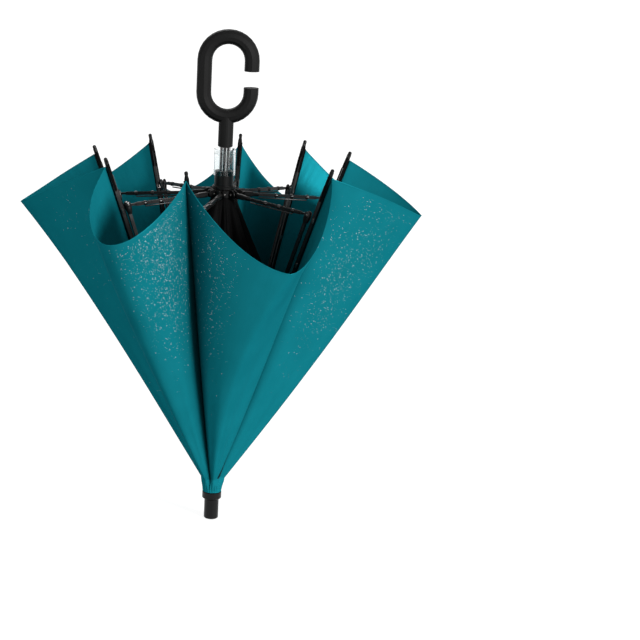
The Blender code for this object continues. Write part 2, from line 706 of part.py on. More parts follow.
def build_frame(parts, cutters, black):
    rib, outer, inner = rib_mesh(), outer_bar_mesh(cutters), inner_bar_mesh()
    for index in range(RIB_COUNT):
        outer_at, inner_at = bar_frames(index)
        place(f"rib_{index + 1}", rib, black, parts, rib_frame(index))
        place(f"outer_bar_{index + 1}", outer, black, parts, outer_at)
        place(f"inner_bar_{index + 1}", inner, black, parts, inner_at)


# Cloth

def hem_point(turn, whole):
    """The hem in polar form: from the tied corner, in to the fold, where it runs square to it."""
    share = turn / whole
    reach = seam_reach() + (RIDGE_LENGTH - seam_reach()) * (1 - (1 - share) ** 2)
    return reach * math.cos(turn), reach * math.sin(turn)


def half_gore_mesh(name, index, near):
    """One half of a gore, flat: X along its inner edge, Y across it.

    The near half starts at its seam and ends at the fold. The far half starts at the fold and ends
    at a free edge, which stays short of the next rib while the two swing apart.
    """
    whole = gore_half_angle()
    hem = []
    for step in range(HEM_STEPS + 1):
        x, y = hem_point(whole * step / HEM_STEPS, whole)
        if not near:
            reach, turn = math.hypot(x, y), whole - math.atan2(y, x)
            x, y = reach * math.cos(turn), reach * math.sin(turn)
        hem.append((x, y))
    if not near:
        hem.reverse()
    fold = ridge_setback(index)
    if near:
        low_first, first, crown_gap, hem_gap = SEAM_SETBACK_AT_CROWN, seam_setback(index), fold, fold
    else:
        low_first, first, crown_gap, hem_gap = fold, fold, FREE_EDGE_AT_CROWN, FREE_EDGE_AT_HEM[index]
    edge = Vector((math.cos(whole), math.sin(whole)))
    inwards = Vector((edge.y, -edge.x))
    crown_end = edge * GORE_START + inwards * crown_gap
    hem_end = edge * (seam_reach() if not near else RIDGE_LENGTH) + inwards * hem_gap
    across = (hem_end - crown_end).normalized()
    kept = [(x, y) for x, y in hem
            if y > first and (Vector((x, y)) - crown_end).cross(across) > 0]
    hem_start = Vector(hem[0]) if near else Vector((RIDGE_LENGTH, 0.0))
    outline = [(GORE_START, low_first), (hem_start.x, first), *kept]
    last = Vector(kept[-1])
    rest = (last - crown_end).dot(across)
    outline.append(tuple(crown_end + across * rest))
    outline.append(tuple(crown_end))
    return outline_mesh(name, outline, CLOTH_THICKNESS)


def build_canopy(parts, cloth):
    for index in range(RIB_COUNT):
        near = half_gore_mesh(f"near_half_{index + 1}", index, True)
        far = half_gore_mesh(f"far_half_{index + 1}", index, False)
        place(f"gore_{index + 1}_near", near, cloth, parts, near_frame(index))
        place(f"gore_{index + 1}_far", far, cloth, parts, far_frame(index))


def build_strap(parts, cloth, hook):
    """The strap hangs on the outside of a back gore, in the middle of its near half."""
    frame = near_frame(STRAP_GORE)
    middle = gore_half_angle() / 2
    turned = frame @ Matrix.Rotation(middle, 4, "Z")
    outside = turned.to_3x3() @ UP
    side = 1.0 if outside.dot(outward(rib_azimuth(STRAP_GORE) - math.pi / RIB_COUNT)) > 0 else -1.0
    low = STRAP_SEWN_AT - STRAP_HANG
    lift = CLOTH_THICKNESS / 2 + SEAT_GAP + STRAP_THICKNESS / 2
    half = STRAP_WIDTH / 2
    band = [(low, -half), (STRAP_SEWN_AT, -half), (STRAP_SEWN_AT, half), (low, half)]
    mesh = outline_mesh("closing_strap", band, STRAP_THICKNESS, side * lift)
    place("closing_strap", mesh, cloth, parts, turned)
    top = lift + STRAP_THICKNESS / 2 + SEAT_GAP + PATCH_THICKNESS / 2
    start, end = low + (STRAP_WIDTH - PATCH_WIDTH) / 2, low + (STRAP_WIDTH - PATCH_WIDTH) / 2 + PATCH_LENGTH
    wide = PATCH_WIDTH / 2
    patch = [(start, -wide), (end, -wide), (end, wide), (start, wide)]
    place("strap_patch", outline_mesh("strap_patch", patch, PATCH_THICKNESS, side * top), hook, parts, turned)


def main():
    clear_scene()
    parts = collection("inverted_umbrella")
    cutters = collection("cutters")
    teal = material("teal_canopy_cloth", (0.02, 0.26, 0.30), 0.6)
    black_cloth = material("black_lining_cloth", (0.01, 0.01, 0.012), 0.8)
    rubber = material("soft_touch_grip", (0.035, 0.035, 0.037), 0.55)
    plastic = material("black_plastic", (0.012, 0.012, 0.013), 0.35)
    gloss = material("black_painted_shaft", (0.01, 0.01, 0.011), 0.15, 0.3)
    steel = material("black_steel", (0.02, 0.018, 0.018), 0.4, 0.8)
    clear = material("clear_plastic", (0.9, 0.92, 0.93), 0.08, 0.0, 0.3)
    build_ferrule(parts, plastic)
    build_collar(parts, plastic)
    build_rosette(parts, teal)
    build_notch(parts, plastic)
    build_hinge_wire(parts, steel)
    build_shaft(parts, cutters, gloss)
    build_catch("upper_catch", UPPER_CATCH_HEIGHT, parts, steel)
    build_catch("lower_catch", LOWER_CATCH_HEIGHT, parts, steel)
    build_grip(parts, cutters, rubber)
    build_runner(parts, cutters, plastic, clear)
    build_lining(parts, black_cloth)
    build_frame(parts, cutters, steel)
    build_canopy(parts, teal)
    build_strap(parts, teal, black_cloth)


main()
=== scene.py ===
"""Looks of the half-open inverted umbrella: teal gores, black lining, ribs, runner, grip and studio.

Metres, +Z up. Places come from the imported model's joints and boxes. Every new piece is a surface
worked out as one array of points. A gore is a cone over a rounded curve of fixed length, so its
cloth is bent and never stretched.
"""

import json
import math

import bpy
import numpy as np
from mathutils import Matrix, Vector


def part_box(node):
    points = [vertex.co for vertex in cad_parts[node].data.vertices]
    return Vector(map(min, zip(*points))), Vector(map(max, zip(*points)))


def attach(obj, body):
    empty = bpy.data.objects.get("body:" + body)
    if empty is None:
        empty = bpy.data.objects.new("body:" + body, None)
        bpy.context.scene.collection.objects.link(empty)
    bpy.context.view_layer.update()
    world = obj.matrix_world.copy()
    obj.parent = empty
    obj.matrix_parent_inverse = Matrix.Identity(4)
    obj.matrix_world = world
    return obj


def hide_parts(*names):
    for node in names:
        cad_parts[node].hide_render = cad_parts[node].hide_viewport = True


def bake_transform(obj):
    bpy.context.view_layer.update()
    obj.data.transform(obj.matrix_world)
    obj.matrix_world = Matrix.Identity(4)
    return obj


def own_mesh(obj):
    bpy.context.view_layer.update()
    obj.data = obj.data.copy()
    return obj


MM = 0.001
UP = np.array((0.0, 0.0, 1.0))
RIBS = range(1, 9)

# Camera: aim point, its pixel in the frame, and the scale there
FRAME_PIXELS = 640
AIM_HEIGHT = 420 * MM
AIM_PIXEL = (220.3, 273.4)
PIXEL_SIZE = 1.631 * MM
CAMERA_DISTANCE = 3.0
CAMERA_ELEVATION = math.radians(12.6)
CAMERA_ROLL = math.radians(2.23)
SENSOR = 36.0

# Studio: floor, sky and three wide soft lamps (where from, width in degrees, strength)
STUDIO_SIZE = 60.0
FLOOR_COLOUR = "#9C9C9C"
FLOOR_GLOW = 0.82
WHITE = (1.0, 1.0, 1.0, 1.0)
SKY_STRENGTH = 0.36
LAMPS = {"key": ((1.9, -1.7, 0.8), 16.0, 3.6), "fill": ((-1.7, -1.6, 0.5), 60.0, 0.65),
         "back": ((-0.4, 1.9, 1.6), 40.0, 0.9)}

# Cloth: the eight gores as cut, from the crown to the corners at the rib tips
CLOTH_THICKNESS = 0.5 * MM
CLOTH_SHARP = 60.0
THREAD = 0.8 * MM
CORNER_REACH = 603 * MM
GORE_START = 36 * MM
GORE_HALF_ANGLE = math.radians(18.54)
# Each gore's fold: how far it reaches, how round it is, and how it leans to the next rib
FOLD_REACH = tuple(reach * MM for reach in (580, 582, 558, 558, 558, 558, 587, 511))
FOLD_ROUNDNESS = (1.9, 1.8, 1.6, 1.6, 1.6, 1.6, 1.35, 1.4)
FOLD_LEAN_AT_HEM = (-0.27, 0.8, 0.0, 0.0, 0.0, 0.0, -0.4, -0.2)
FOLD_LEAN_AT_CROWN = (-0.1, 1.35, 0.0, 0.0, 0.0, 0.0, -0.4, 0.42)
CURVE_STEPS = 721
CURVE_TRIES = 40
CLOTH_COLUMNS = 48
CLOTH_ROWS = 36
# Shade between folds: how far the cloth looks round, and the open shares at which it is dark and light
VALLEY_SIZE = 90 * MM
VALLEY_OPEN = (0.25, 0.85)
VALLEY_SHADE = 0.5
VALLEY_SAMPLES = 8
# Unevenness: slow waves (least and most across, down and start), creases at the crown, and fullness at seams
FLUTTER = 3.4 * MM
FLUTTER_WAVES = 4
FLUTTER_LEAST = (1.0, 0.3, 0.0)
FLUTTER_MOST = (4.0, 1.6, 2 * math.pi)
CROWN_CREASE = 3.2 * MM
CROWN_CREASES = 9
SEAM_PUFF = 9 * MM
SEAM_PUFF_AT = 0.1
# Hem, and the binding over each seam, whose near-black band is partly painted shade along the valley at each
# rib
HEM_HALF_WIDTH = 1.1 * MM
HEM_HALF_DEPTH = 0.55 * MM
HEM_CORNERS = 8
SEAM_WIDTH = 8.0 * MM
SEAM_DROP = 1.4 * MM
SEAM_CLEARANCE = 0.6 * MM
SEAM_ENDS = (12 * MM, 580 * MM)
SEAM_ROWS = 30
SEAM_COLUMNS = 6
CLOTH_OUTSIDE_RIB = 4 * MM
# Cloth gathered at the crown
GATHER_ROWS = 14
GATHER_RADIUS = 15.4 * MM
GATHER_BOTTOM = 47.8 * MM
GATHER_PLEAT = 0.9 * MM
GATHER_PLEATS = 24

# Closing strap on the back gore: reach from the apex, place across the gore, and layers
STRAP_GORE = 5
STRAP_REACH = (265 * MM, 430 * MM)
STRAP_SHARE = 0.25
STRAP_WIDTH = 38 * MM
STRAP_GRID = (34, 12)
STRAP_LIFT = 1.5 * MM
STRAP_THICKNESS = 1.0 * MM
PATCH_REACH = (272 * MM, 302 * MM)
PATCH_WIDTH = 25 * MM
PATCH_GRID = (12, 10)
PATCH_LIFT = 2.7 * MM
PATCH_THICKNESS = 0.9 * MM

# Lining
LINING_ROWS = 30
LINING_COLUMNS = 288
LINING_FOLDS = 9
LINING_TOP_RADIUS = 19.2 * MM
LINING_BOTTOM_RADIUS = 82 * MM
LINING_FOLD_SHARE = 0.34
LINING_DEEPENS = 0.6
LINING_SMALL_FOLDS = 3
LINING_SMALL_SHARE = 0.25
# How the folds wander: waves round, the first one's start and way down, and the second's size and way down
LINING_SWAY = 0.8
SWAY_ROUNDS = (2, 5)
SWAY_START = 1.1
SWAY_DOWN = (0.8, 3)
SWAY_SECOND = 0.4

# Rain: drops on each wet gore, their size and where they lie
DROP_RADIUS = 0.32 * MM
DROP_SIZES = (0.5, 1.8)
DROP_FLAT = 0.6
DROP_CORNERS = 6
DROP_RINGS = (0.0, 35.0, 68.0)
DROP_SHARP = 80.0
DROP_SKEW = 3
DROP_SEED = 100
# Shares of the way down: none lies lower or higher, and those past the lowest are turned back up
DROP_LOWEST = 0.985
DROP_HIGHEST = 0.3
DROP_BACK = 0.6
# Gore: how many drops, where across it, how far they spread up and down, and where most of them lie
RAIN = {1: (1700, (0.0, 0.46), 0.15, 0.84), 2: (110, (0.08, 0.5), 0.3, 0.9),
        7: (1100, (0.42, 0.99), 0.14, 0.76), 8: (480, (0.64, 1.0), 0.16, 0.82)}

# Ribs, bars and hub: lengths along each, and scales of a channel's section where it ends
RIB_LENGTH = 592 * MM
RIB_HALF_DEPTH = 2.2 * MM
BAR_PIVOT = (200 * MM, 9 * MM)
HUB_PIN_CIRCLE = 23 * MM
OUTER_BAR_ASIDE = 2.6 * MM
RIB_CHANNELS = ((14 * MM, 182 * MM), (218 * MM, 566 * MM))
RIB_CHANNEL_END = 0.8
CHANNEL_TAPER = 2 * MM
CHANNEL_END = (0.75, 0.8)
SOCKET_FIT = 0.9
BEAD_SHARES = (0.42, 0.6, 0.78)
PLATE_EDGE = 0.3 * MM
PLATE_INSET = 0.93
LUG_EDGE = 0.5 * MM
TIP_CAP_START = RIB_LENGTH - 16 * MM
CLIP_PLACES = tuple(x * MM for x in (120, 300, 420, 500))
BAR_ENDS = 13 * MM
ROD_ENDS = (36 * MM, 30 * MM)
ROD_BELOW = 5.2 * MM
ROD_RADIUS = 1.05 * MM
ROD_CORNERS = 8
SOLID_SHARP = 40.0
# Clear guide, whose profile is stretched above its foot to the model's height
CLEAR_COLUMNS = 72
CLEAR_SHARP = 35.0
CLEAR_FOOT = 10 * MM
# Bright strips on the shaft, a painted highlight: how many, the first one's turn, their ends and their
# section
STRIP_COUNT = 9
STRIP_TURN = 0.12
STRIP_ENDS = (430 * MM, 628 * MM)
STRIP_HALF = (0.22 * MM, 0.75 * MM)


def millimetres(*rows):
    """Rows of numbers in millimetres, as an array in metres."""
    return np.array(rows, float) * MM


# Turned shapes: distance along, radius
TIP_CAP = millimetres((0, 2.6), (1, 3.3), (9, 3.1), (11, 2.5), (13, 2.7), (15.5, 3.1), (17.6, 2.6),
                      (18.6, 1.2))
CLIP = millimetres((0, 3.0), (0.6, 3.7), (4.0, 3.8), (7.4, 3.7), (8, 3.0))
BEAD = millimetres((0, 2.6), (0.8, 3.5), (3.0, 3.8), (5.2, 3.5), (6, 2.6))
PIN_HEADS = millimetres((-6.0, 1.0), (-5.6, 2.0), (-4.9, 2.4), (-4.2, 2.4), (-4.1, 1.1), (4.1, 1.1),
                        (4.2, 2.4), (4.9, 2.4), (5.6, 2.0), (6.0, 1.0))
KNUCKLE_PIN = PIN_HEADS * (0.8, 0.9)
LUG_PIN = PIN_HEADS * (0.95, 0.8)
ROD_TIP = ROD_RADIUS / 2
CLEAR_PROFILE = millimetres((16.2, 0), (17.4, 0), (17.4, 33), (17.9, 33.4), (17.9, 35.2), (17.4, 35.6),
                            (17.4, 42), (16.2, 42))
# Plates: outline, and the heights of each one's two faces
KNUCKLE_PLATE = millimetres((-6, -4.6), (3, -4.6), (5.4, -2.4), (5.9, 0), (5.4, 2.4), (3, 4.6), (-6, 4.6),
                            (-15, 2.2), (-15, -2.2))
KNUCKLE_SIDES = millimetres((-4.0, -2.8), (2.8, 4.0))
RIB_BRACKET = millimetres((-15, -10.6), (15, -10.6), (13, -6), (5, 2.6), (2.4, 4.6), (-2.4, 4.6),
                          (-5, 2.6), (-13, -6))
BRACKET_SIDES = millimetres((-3.8, -2.6), (4.4, 5.6))
HUB_LUG = millimetres((-4, -6.4), (2.5, -6.4), (6.2, -4.8), (8.4, -2.2), (9.0, 0.6), (8.0, 3.8),
                      (5.4, 6.4), (1.5, 7.2), (-4, 7.2))
LUG_SIDES = millimetres((-4.2, -1.6), (1.6, 4.2))
# Sections in Y and Z
CHANNEL = millimetres((2.6, -2.4), (2.6, -1.8), (-2.0, -1.8), (-2.0, 1.8), (2.6, 1.8), (2.6, 2.4),
                      (-2.6, 2.4), (-2.6, -2.4))
RIB_CHANNEL = millimetres((3.4, -2.8), (3.4, -2.1), (-2.0, -2.1), (-2.0, 2.1), (3.4, 2.1), (3.4, 2.8),
                          (-2.4, 2.8), (-2.4, -2.8))
BLOCK = np.array(((1, -0.6), (1, 0.6), (0.6, 1), (-0.6, 1), (-1, 0.6), (-1, -0.6), (-0.6, -1), (0.6, -1)),
                 float)
# Stations of a block: distance along, half width, half depth
POCKET = millimetres((0, 2.4, 2.9), (2, 2.9, 3.3), (30, 3.1, 3.5), (44, 2.9, 3.3), (46, 2.4, 2.9))
POCKET_START = 538 * MM
BAR_SOCKET = millimetres((-5, 1.5, 0.8), (-4, 3.0, 1.2), (6, 3.2, 1.2), (9, 3.4, 1.3), (10.5, 4.3, 3.8),
                         (24, 4.0, 3.6), (26, 3.2, 3.0), (35, 3.0, 2.8), (36.5, 2.0, 1.9))

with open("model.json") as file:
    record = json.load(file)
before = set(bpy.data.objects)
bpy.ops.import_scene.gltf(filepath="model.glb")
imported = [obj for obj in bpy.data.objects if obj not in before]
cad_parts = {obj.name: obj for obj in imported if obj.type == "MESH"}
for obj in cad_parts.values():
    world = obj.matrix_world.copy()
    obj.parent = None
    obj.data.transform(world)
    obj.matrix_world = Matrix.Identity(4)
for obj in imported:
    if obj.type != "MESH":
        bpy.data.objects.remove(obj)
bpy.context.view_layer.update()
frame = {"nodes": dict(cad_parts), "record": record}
JOINTS = {joint["name"]: joint for joint in frame["record"]["behaviour"]["joints"]}


# Directions and frames

def unit(vectors):
    """Each vector over its length, along the last axis."""
    return vectors / np.linalg.norm(vectors, axis=-1, keepdims=True)


def joint_line(name):
    """A joint's point and unit direction."""
    found = JOINTS[name]
    return np.array(found["pos_m"], float), unit(np.array(found["axis"], float))


APEX = joint_line("gore_1_seam")[0]


def seam_direction(index):
    """Direction of a rib's seam from the cloth's apex. Ribs count from 1 and run on past 8."""
    return joint_line(f"gore_{(index - 1) % 8 + 1}_seam")[1]


def frames_at(origins, along, towards):
    """Frames at points: X is the first direction, Y the second less its share along X, Z = X cross Y."""
    origins, along, towards = (np.atleast_2d(np.asarray(row, float)) for row in (origins, along, towards))
    x = unit(along)
    y = unit(towards - x * np.sum(towards * x, axis=-1, keepdims=True))
    x, y, origins = np.broadcast_arrays(x, y, origins)
    return origins, np.stack((x, y, np.cross(x, y)), axis=1)


def placed(local, frames):
    """Points of a grid in each frame: origin + x X + y Y + z Z, as frames x rows x columns x 3."""
    origins, axes = frames
    return origins[:, None, None, :] + np.einsum("rcj,njk->nrck", local, axes)


def moved(frames, offset):
    """The same frames, moved along their own axes."""
    origins, axes = frames
    return origins + np.einsum("j,njk->nk", np.asarray(offset, float), axes), axes


def rib_frame(index):
    """A rib's frame: origin on its hinge, X to its tip, Y to the inside, Z along its pins."""
    hinge = joint_line(f"rib_{index}_hinge")[0]
    pivot, pin = joint_line(f"outer_bar_{index}_pivot")
    turn = math.atan2(BAR_PIVOT[1], BAR_PIVOT[0])
    towards = unit(pivot - hinge)
    along = towards * math.cos(turn) - np.cross(pin, towards) * math.sin(turn)
    return frames_at(hinge, along, np.cross(pin, along))


def hub_pin(index):
    """Where an inner bar's end sits on the hub: on a circle round the shaft, in the rib's direction."""
    hinge = joint_line(f"rib_{index}_hinge")[0]
    low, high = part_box("runner_hub")
    return unit(hinge * (1, 1, 0)) * HUB_PIN_CIRCLE + UP * (low[2] + high[2]) / 2


def bar_frame(index, kind):
    """An outer bar's frame from the rib up to the knuckle, or an inner bar's from the hub out to it."""
    pivot, pin = joint_line(f"outer_bar_{index}_pivot")
    knuckle = joint_line(f"inner_bar_{index}_pivot")[0]
    start = pivot if kind == "outer" else hub_pin(index)
    along = knuckle - start
    return frames_at(start, along, np.cross(pin, along)), float(np.linalg.norm(along))


# Finishes

def linear(colour):
    """An sRGB hex colour as linear light: c / 12.92 when dark, else ((c + 0.055) / 1.055) to the 2.4."""
    share = np.array([int(colour[k:k + 2], 16) for k in (1, 3, 5)]) / 255
    light = np.where(share <= 0.04045, share / 12.92, ((share + 0.055) / 1.055) ** 2.4)
    return (*light.tolist(), 1.0)


def add_node(tree, kind, settings, inputs):
    """A node with its settings. An input is a plain value or another node's output."""
    node = tree.nodes.new(kind)
    for key, value in settings.items():
        setattr(node, key, value)
    for key, value in inputs.items():
        if isinstance(value, bpy.types.NodeSocket):
            tree.links.new(value, node.inputs[key])
        else:
            node.inputs[key].default_value = value
    return node


def new_finish(name, colours, patch, roughness, grain, relief, sockets):
    """A finish whose colour and gloss vary in patches, with a fine relief.

    patch and grain are real sizes: a noise of scale 1 / size has features about that far apart.
    """
    made = bpy.data.materials.new(name)
    made.use_nodes = True
    tree = made.node_tree
    shader = tree.nodes["Principled BSDF"]
    place = add_node(tree, "ShaderNodeTexCoord", {}, {}).outputs["Object"]
    patches = add_node(tree, "ShaderNodeTexNoise", {}, {"Vector": place, "Scale": 1 / patch, "Detail": 4.0})
    mixed = add_node(tree, "ShaderNodeMix", {"data_type": "RGBA"},
                     {0: patches.outputs["Fac"], 6: linear(colours[0]), 7: linear(colours[1])})
    gloss = add_node(tree, "ShaderNodeMapRange", {},
                     {"Value": patches.outputs["Fac"], "To Min": roughness[0], "To Max": roughness[1]})
    fine = add_node(tree, "ShaderNodeTexNoise", {}, {"Vector": place, "Scale": 1 / grain, "Detail": 3.0})
    bump = add_node(tree, "ShaderNodeBump", {}, {"Height": fine.outputs["Fac"], "Distance": relief})
    tree.links.new(mixed.outputs[2], shader.inputs["Base Color"])
    tree.links.new(gloss.outputs["Result"], shader.inputs["Roughness"])
    tree.links.new(bump.outputs["Normal"], shader.inputs["Normal"])
    for key, value in sockets.items():
        shader.inputs[key].default_value = value
    return made


def weave_with_painted_shade(made, thread, crease, relief):
    """Threads and soft creases over a cloth's own flat pattern, in place of the plain grain.

    Threads are two crossed waves, each of period pi / (10 scale), a quarter as high as wide.
    Creases are a noise drawn out along the gore: crease gives their size across and along. Shade is
    painted into narrow folds, where the cloth sees mostly itself: the colour is multiplied by a
    share that goes from VALLEY_SHADE to 1 as the open part of its surroundings grows.
    """
    tree = made.node_tree
    pattern = add_node(tree, "ShaderNodeTexCoord", {}, {}).outputs["UV"]
    waves = [add_node(tree, "ShaderNodeTexWave", {"bands_direction": way},
                      {"Vector": pattern, "Scale": math.pi / (10 * thread), "Distortion": 0.6}).outputs["Fac"]
             for way in ("X", "Y")]
    threads = add_node(tree, "ShaderNodeMath", {"operation": "MULTIPLY"}, {0: waves[0], 1: waves[1]})
    drawn = add_node(tree, "ShaderNodeMapping", {},
                     {"Vector": pattern, "Scale": (1 / crease[0], 1 / crease[1], 1.0)})
    soft = add_node(tree, "ShaderNodeTexNoise", {},
                    {"Vector": drawn.outputs["Vector"], "Scale": 1.0, "Detail": 3.0})
    low = add_node(tree, "ShaderNodeBump", {},
                   {"Height": threads.outputs[0], "Strength": 0.3, "Distance": thread / 4})
    high = add_node(tree, "ShaderNodeBump", {},
                    {"Height": soft.outputs["Fac"], "Strength": 0.5, "Distance": relief,
                     "Normal": low.outputs["Normal"]})
    shader = tree.nodes["Principled BSDF"]
    tree.links.new(high.outputs["Normal"], shader.inputs["Normal"])
    # Painted shade: the colour darkens where the cloth's surroundings are closed, as in folds and valleys
    open_share = add_node(tree, "ShaderNodeAmbientOcclusion", {"samples": VALLEY_SAMPLES},
                          {"Distance": VALLEY_SIZE})
    painted_shade = add_node(tree, "ShaderNodeMapRange", {},
                        {"Value": open_share.outputs["AO"], "From Min": VALLEY_OPEN[0],
                         "From Max": VALLEY_OPEN[1], "To Min": VALLEY_SHADE, "To Max": 1.0})
    shaded = add_node(tree, "ShaderNodeMix", {"data_type": "RGBA", "blend_type": "MULTIPLY"}, {0: 1.0})
    tree.links.new(shader.inputs["Base Color"].links[0].from_socket, shaded.inputs[6])
    tree.links.new(painted_shade.outputs["Result"], shaded.inputs[7])
    tree.links.new(shaded.outputs[2], shader.inputs["Base Color"])
    return made


# Coated pongee polyester: satin, and its gloss has the colour of the dyed threads, as a metal's has, with
# no white gloss over it. Real threads are 0.15 mm apart and are drawn at 0.8 mm to show close up
TEAL = weave_with_painted_shade(new_finish("teal_pongee", ("#0E6F7A", "#157E8A"), 60 * MM, (0.34, 0.44), 2 * MM, 0.1 * MM,
                        {"Specular IOR Level": 0.0, "Metallic": 0.24, "Specular Tint": linear("#1E8896")}),
             THREAD, (26 * MM, 180 * MM), 3.0 * MM)
# Bias binding over the seams, coloured nearly black and dull: partly painted shade, standing in for the dark
# valley at each rib
BINDING_AND_VALLEY_SHADE = weave_with_painted_shade(new_finish("seam_binding_and_painted_shade", ("#021D21", "#03292E"), 30 * MM, (0.6, 0.7), 2 * MM,
                           0.1 * MM, {"Specular IOR Level": 0.05}),
                THREAD, (8 * MM, 60 * MM), 0.6 * MM)
# Black polyester lining: light hardly comes back from its folds
BLACK_CLOTH = weave_with_painted_shade(new_finish("black_polyester_lining", ("#050505", "#0C0C0D"), 40 * MM, (0.65, 0.8),
                               2 * MM, 0.1 * MM, {"Specular IOR Level": 0.05}),
                    THREAD, (8 * MM, 120 * MM), 1.5 * MM)
# Loop side of a hook-and-loop patch: coarse and dull
LOOP_PATCH = new_finish("nylon_loop_patch", ("#0A0A0B", "#151516"), 4 * MM, (0.8, 0.95), 1.2 * MM, 0.6 * MM,
                        {"Specular IOR Level": 0.1})
# Rubber-coated ABS: satin, a little grey where light grazes it
GRIP = new_finish("rubber_coated_grip", ("#0F0F0F", "#151515"), 25 * MM, (0.5, 0.62), 1.1 * MM, 0.05 * MM,
                  {"Specular IOR Level": 0.14})
# Moulded ABS: black, half gloss
PLASTIC = new_finish("moulded_black_abs", ("#070707", "#0C0C0C"), 20 * MM, (0.28, 0.4), 1.6 * MM, 0.04 * MM,
                     {"Specular IOR Level": 0.2})
# Enamelled steel tube: black with sharp reflections
ENAMEL = new_finish("black_enamel_tube", ("#060606", "#0B0B0B"), 30 * MM, (0.08, 0.16), 3 * MM, 0.02 * MM,
                    {"Specular IOR Level": 0.7})
# Rolled steel with black lacquer: dark, with short glints at its edges
LACQUER = new_finish("black_lacquered_steel", ("#0B0909", "#131111"), 18 * MM, (0.22, 0.38), 2 * MM,
                     0.05 * MM, {"Specular IOR Level": 0.4})
# Zinc-plated steel of rivets and clips: bright, slightly uneven
ZINC = new_finish("zinc_plated_steel", ("#5E5B5A", "#807C79"), 6 * MM, (0.22, 0.36), 1.5 * MM, 0.05 * MM,
                  {"Metallic": 1.0})
# Bright metal strips on the enamel: a painted highlight, standing in for the light stripes of the glossy
# shaft
STRIP_HIGHLIGHT_METAL = new_finish("strip_highlight_metal", ("#C6C6C6", "#DADADA"), 15 * MM, (0.18, 0.3), 3 * MM,
                        0.02 * MM, {"Metallic": 1.0})
# Clear moulded polycarbonate: the shaft and its painted highlight strips show through it, hardly bent, as
# through a thin wall
CLEAR = new_finish("clear_polycarbonate", ("#F2F7F8", "#FBFDFD"), 30 * MM, (0.02, 0.08), 8 * MM, 0.02 * MM,
                   {"Transmission Weight": 1.0, "IOR": 1.35})
# Rain: small domes of water on the coated cloth, coloured near white and mostly opaque: a painted highlight
# that shows them as bright specks
WATER_PAINTED_GLINT = new_finish("rain_water_painted_glint", ("#F2FCFD", "#FFFFFF"), 5 * MM, (0.03, 0.1), 5 * MM, 0.01 * MM,
                   {"Transmission Weight": 0.1, "IOR": 1.33})


# Surfaces

def grid_faces(rows, columns, around):
    """Quads of a grid of points, row by row; around joins the last column to the first."""
    low = np.arange(rows - 1)[:, None] * columns
    here = np.arange(columns if around else columns - 1)[None, :]
    after = (here + 1) % columns
    quads = np.stack((low + here, low + after, low + columns + after, low + columns + here), axis=-1)
    return quads.reshape(-1, 4)


def new_piece(name, points, faces, finish, sharp, flat=None):
    """A mesh with its place in its points. flat is each point's place on the cut cloth."""
    mesh = bpy.data.meshes.new(name)
    mesh.from_pydata(points.reshape(-1, 3).tolist(), [], faces)
    mesh.materials.append(finish)
    if flat is not None:
        corners = np.empty(len(mesh.loops), dtype=np.int32)
        mesh.loops.foreach_get("vertex_index", corners)
        mesh.uv_layers.new(name="pattern").data.foreach_set("uv", flat[corners].ravel())
    mesh.shade_smooth()
    mesh.set_sharp_from_angle(angle=math.radians(sharp))
    made = bpy.data.objects.new(name, mesh)
    bpy.context.scene.collection.objects.link(made)
    return made


def solid_piece(name, points, finish, sharp=SOLID_SHARP):
    """Closed lofts from parts x rings x corners x 3; corners turn about the way from ring to ring."""
    parts, rings, corners = points.shape[:3]
    shift = (np.arange(parts) * rings * corners)[:, None, None]
    quads = (grid_faces(rings, corners, True) + shift).reshape(-1, 4).tolist()
    ends = np.stack((np.arange(corners)[::-1], np.arange(corners) + (rings - 1) * corners))
    faces = quads + (ends + shift).reshape(-1, corners).tolist()
    return new_piece(name, points, faces, finish, sharp)


def surface_normals(points, around):
    """Unit normals of a grid: the way across crossed with the way along."""
    if around:
        across = np.roll(points, -1, axis=1) - np.roll(points, 1, axis=1)
    else:
        across = np.gradient(points, axis=1)
    return unit(np.cross(across, np.gradient(points, axis=0)))


def outward(points, normals):
    """1 where a surface's normals point away from the shaft on the whole, and -1 where to it."""
    return np.sign(np.sum(normals * (points - APEX) * (1, 1, 0), axis=-1).mean())


def on_grid(points, row, column):
    """Points between a grid's own: the four round each, weighted by how near they are."""
    r, c = row.astype(int), column.astype(int)
    up, right = (row - r)[..., None], (column - c)[..., None]
    return (points[r, c] * (1 - right) + points[r, c + 1] * right) * (1 - up) \
        + (points[r + 1, c] * (1 - right) + points[r + 1, c + 1] * right) * up


def flat_pattern(points):
    """Each grid point's place on a flat cut: mean run of the cloth across, and mean run along."""
    across = np.linalg.norm(np.diff(points, axis=1), axis=-1).mean(axis=0)
    along = np.linalg.norm(np.diff(points, axis=0), axis=-1).mean(axis=1)
    runs = [np.concatenate(((0.0,), np.cumsum(run))) for run in (across, along)]
    return np.stack(np.meshgrid(*runs), axis=-1)


def cloth_piece(name, points, thickness, finish, around=False, flat=None):
    """A sheet with both faces and its rims: points plus and minus half the thickness along the normal."""
    rows, columns = points.shape[:2]
    normals = surface_normals(points, around) * thickness / 2
    both = np.stack((points + normals, points - normals))
    front = grid_faces(rows, columns, around)
    back = front[:, ::-1] + rows * columns
    low, high = np.arange(columns), np.arange(columns)[::-1] + (rows - 1) * columns
    if around:
        edges = [(low, np.roll(low, -1)), (high, np.roll(high, -1))]
    else:
        side = np.arange(1, rows - 1) * columns
        loop = np.concatenate((low, side + columns - 1, high, side[::-1]))
        edges = [(loop, np.roll(loop, -1))]
    rims = [np.stack((a, a + rows * columns, b + rows * columns, b), axis=-1) for a, b in edges]
    faces = np.concatenate((front, back, *rims)).tolist()
    flat = flat_pattern(points) if flat is None else flat
    flat = np.concatenate((flat.reshape(-1, 2),) * 2)
    return new_piece(name, both, faces, finish, CLOTH_SHARP, flat)


